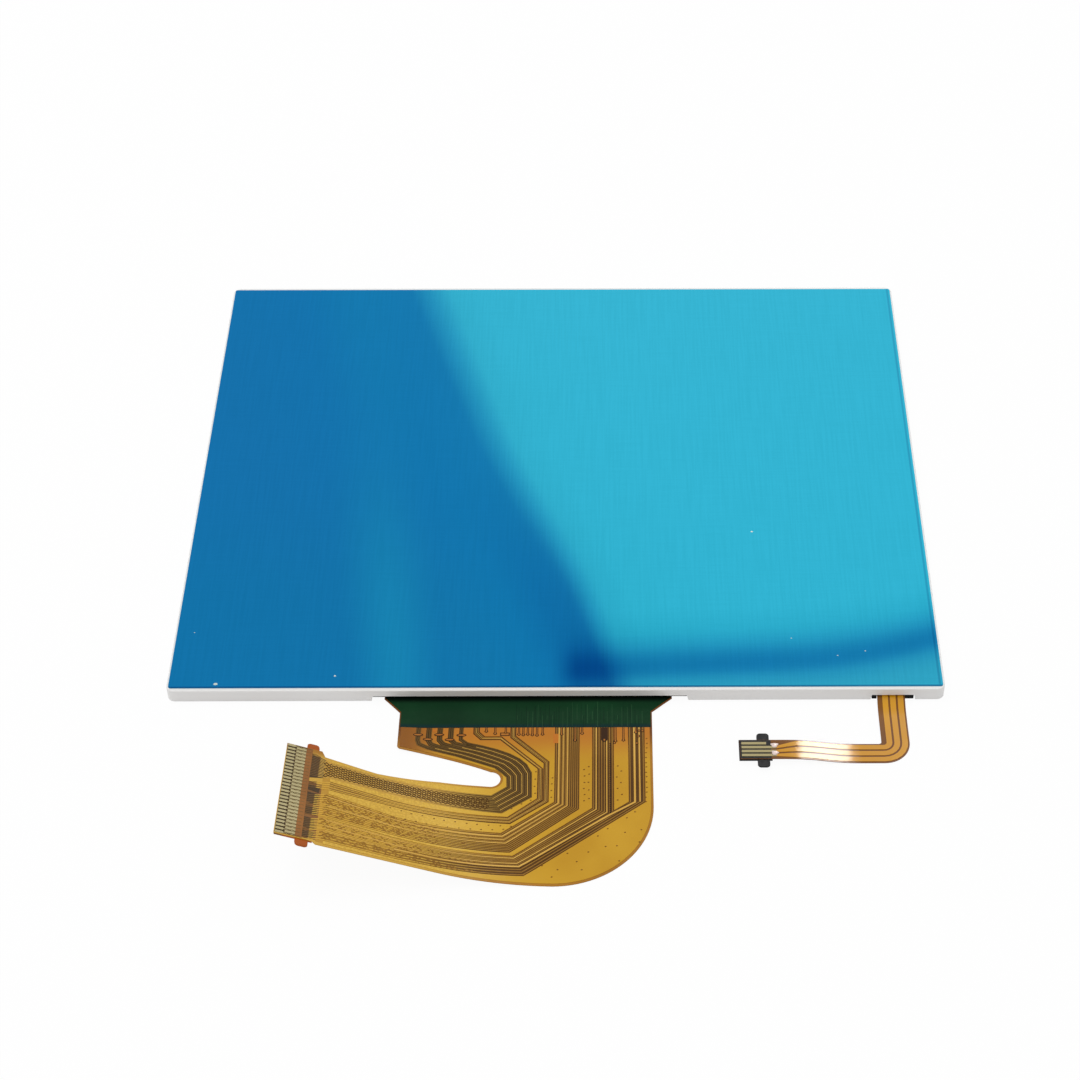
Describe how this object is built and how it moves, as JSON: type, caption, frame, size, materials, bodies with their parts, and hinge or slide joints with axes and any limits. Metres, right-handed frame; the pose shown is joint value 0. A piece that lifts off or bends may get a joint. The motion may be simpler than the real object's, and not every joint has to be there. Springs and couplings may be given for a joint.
{
  "type": "lcd display",
  "caption": "Back-lit LCD module, face down, with a blue back film, a J-shaped main flex that curls up at its contact end, and a small backlight flex.",
  "frame": {"origin": "middle of the display face, which is the module's lowest face", "axes": "+X along the long side, +Y away from the flexes, +Z from the display face to the back film"},
  "size_m": [0.0768, 0.0871, 0.0069],
  "materials": {
    "front_polariser": "dark glossy film",
    "rear_polariser": "grey film",
    "cell_glass": "clear, polished",
    "silicon": "dark polished silicon",
    "black_tape": "matt adhesive tape",
    "white_frame": "white moulded polycarbonate, satin",
    "optical_film": "translucent sheet",
    "acrylic": "clear moulded light guide",
    "reflector": "silvery white sheet",
    "blue_film": "glossy, slightly metallic blue film",
    "led_case": "white moulded cup",
    "phosphor": "yellow phosphor resin",
    "polyimide": "amber film, glossy",
    "solder_mask": "dark green lacquer",
    "covered_copper": "copper seen through amber cover film",
    "dark_lines": "narrow copper lines under amber film",
    "gold_contacts": "thin gold plating",
    "orange_stiffener": "orange polyimide",
    "black_stiffener": "black plastic, satin",
    "solder": "bright solder"
  },
  "bodies": {
    "root": {"front_polariser": "front_polariser", "rear_polariser": "rear_polariser", "colour_filter_glass": "cell_glass", "array_glass": "cell_glass", "driver_chip": "silicon", "rim_tape": "black_tape", "backlight_frame": "white_frame", "light_guide": "acrylic", "upper_prism_sheet": "optical_film", "lower_prism_sheet": "optical_film", "diffuser_sheet": "optical_film", "reflector_sheet": "reflector", "back_film": "blue_film", "led_row": "led_case", "led_windows": "phosphor", "main_flex": "polyimide", "green_mask": "solder_mask", "pair_lines": "dark_lines", "signal_lines": "dark_lines", "ground_planes": "covered_copper", "main_contacts_front": "gold_contacts", "main_contacts_rear": "gold_contacts", "main_stiffener": "orange_stiffener", "backlight_flex": "polyimide", "backlight_conductors": "covered_copper", "backlight_contacts": "gold_contacts", "backlight_stiffener": "black_stiffener", "backlight_joints": "solder"}
  },
  "joints": []
}
